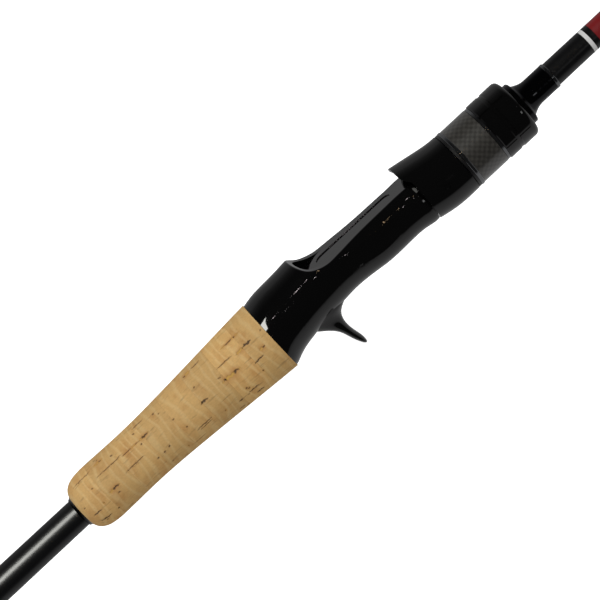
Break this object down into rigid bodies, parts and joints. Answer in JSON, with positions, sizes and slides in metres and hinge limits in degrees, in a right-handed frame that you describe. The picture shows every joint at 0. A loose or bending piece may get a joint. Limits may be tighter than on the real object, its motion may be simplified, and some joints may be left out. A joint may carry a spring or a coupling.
{
  "type": "casting fishing rod",
  "caption": "Casting fishing rod with a trigger reel seat, sliding locking hood, split cork grip, carbon blank and ring guides. Takes a casting reel by its foot.",
  "frame": {"origin": "centre of the flat butt face, on the blank's axis", "axes": "+X along the blank from butt to tip, +Z on the side of the reel and guides, trigger on -Z"},
  "size_m": [1.9786, 0.0298, 0.0497],
  "materials": {
    "carbon_blank": "clear-coated carbon tube, satin black",
    "cork": "sanded natural cork",
    "gloss_black": "polished black lacquer",
    "black_anodised": "gloss black anodised aluminium",
    "bright_metal": "turned and polished",
    "carbon_weave": "woven carbon under clear coat",
    "rubber": "moulded butt cap",
    "arbor": "cut foam arbor",
    "liner": "moulded nylon cushion",
    "washer": "low-friction washer",
    "nylon": "moulded nylon, black",
    "guide_frame": "black-coated stamped steel",
    "ceramic_ring": "polished dark ceramic",
    "thread_wrap": "black thread under clear epoxy"
  },
  "bodies": {
    "rod": {"blank": "carbon_blank", "butt_cap": "rubber", "butt_check": "black_anodised", "butt_cork_ring_1": "cork", "butt_cork_ring_2": "cork", "butt_cork_ring_3": "cork", "butt_cork_ring_4": "cork", "butt_cork_ring_5": "cork", "check_trim_ring": "bright_metal", "cork_ring_1": "cork", "cork_ring_2": "cork", "cork_ring_3": "cork", "cork_ring_4": "cork", "cork_ring_5": "cork", "cork_ring_6": "cork", "cork_ring_7": "cork", "cork_ring_8": "cork", "front_check": "black_anodised", "guide_1_frame": "guide_frame", "guide_1_ring": "ceramic_ring", "guide_1_wrap": "thread_wrap", "guide_2_frame": "guide_frame", "guide_2_ring": "ceramic_ring", "guide_2_wrap": "thread_wrap", "guide_3_frame": "guide_frame", "guide_3_ring": "ceramic_ring", "guide_3_wrap": "thread_wrap", "guide_4_frame": "guide_frame", "guide_4_ring": "ceramic_ring", "guide_4_wrap": "thread_wrap", "guide_5_frame": "guide_frame", "guide_5_ring": "ceramic_ring", "guide_5_wrap": "thread_wrap", "guide_6_frame": "guide_frame", "guide_6_ring": "ceramic_ring", "guide_6_wrap": "thread_wrap", "guide_7_frame": "guide_frame", "guide_7_ring": "ceramic_ring", "guide_7_wrap": "thread_wrap", "guide_8_frame": "guide_frame", "guide_8_ring": "ceramic_ring", "guide_8_wrap": "thread_wrap", "rear_check": "black_anodised", "reel_seat": "gloss_black", "seat_arbors": "arbor", "tip_top_frame": "guide_frame", "tip_top_ring": "ceramic_ring", "tip_wrap": "thread_wrap"},
    "hood": {"front_hood": "gloss_black", "hood_liner": "liner", "hood_pins": "gloss_black", "slip_washer": "washer", "retaining_ring": "bright_metal"},
    "nut": {"nut_core": "nylon", "rear_trim_ring": "bright_metal", "carbon_sleeve": "carbon_weave", "front_trim_ring": "bright_metal", "nut_head": "gloss_black"}
  },
  "joints": [
    {"name": "hood_slide", "type": "slide", "parent": "rod", "child": "hood", "axis": [1, 0, 0], "range_m": [0, 0.012]},
    {"name": "nut_turn", "type": "hinge", "parent": "hood", "child": "nut", "pos_m": [0.325, 0, 0], "axis": [1, 0, 0], "range_deg": [0, 2160]}
  ],
  "couplings": [
    {"joint": "hood_slide", "follows": "nut_turn", "m_per_rad": 0.00031831}
  ]
}
